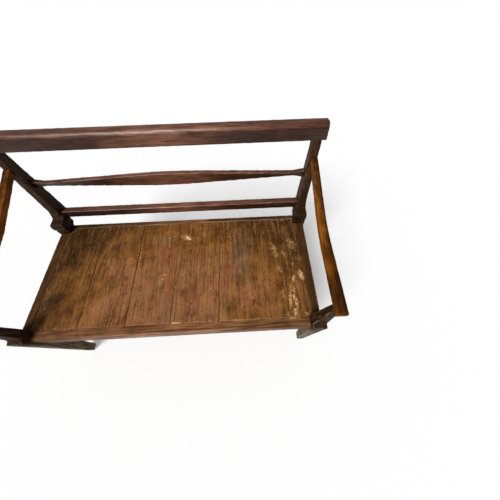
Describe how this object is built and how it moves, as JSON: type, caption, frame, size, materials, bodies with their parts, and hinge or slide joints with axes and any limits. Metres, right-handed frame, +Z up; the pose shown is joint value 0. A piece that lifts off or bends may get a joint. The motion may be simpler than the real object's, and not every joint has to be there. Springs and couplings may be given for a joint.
{
  "type": "deacons bench",
  "caption": "Wooden deacons bench: boarded seat on tapered legs, sweeping flat arms and an open back with a rolled crest rail.",
  "frame": {"origin": "on the floor, under the centre of the bench's overall box", "axes": "+X along the bench to the right of someone facing it, +Y from front to back, +Z up"},
  "size_m": [1.26, 0.6714, 0.8764],
  "materials": {
    "seat": "worn old finish with paint marks, satin",
    "legs": "worn dark stain, edges rubbed bare",
    "arms": "honey brown, hand-polished satin",
    "back": "dark warm brown stain, satin",
    "pegs": "dark end grain"
  },
  "bodies": {
    "root": {"seat_plank_1": "seat", "seat_plank_2": "seat", "seat_plank_3": "seat", "seat_plank_4": "seat", "seat_plank_5": "seat", "seat_plank_6": "seat", "front_seat_rail": "seat", "rear_seat_rail": "seat", "side_seat_rail_left": "seat", "side_seat_rail_right": "seat", "front_leg_left": "legs", "front_leg_right": "legs", "back_post_left": "legs", "back_post_right": "legs", "arm_left": "arms", "arm_right": "arms", "crest_rail": "back", "middle_rail": "back", "lower_rail": "back", "front_leg_pegs_left": "pegs", "front_leg_pegs_right": "pegs", "back_post_pegs_left": "pegs", "back_post_pegs_right": "pegs", "arm_pegs_left": "pegs", "arm_pegs_right": "pegs", "crest_pegs_left": "pegs", "crest_pegs_right": "pegs"}
  },
  "joints": []
}
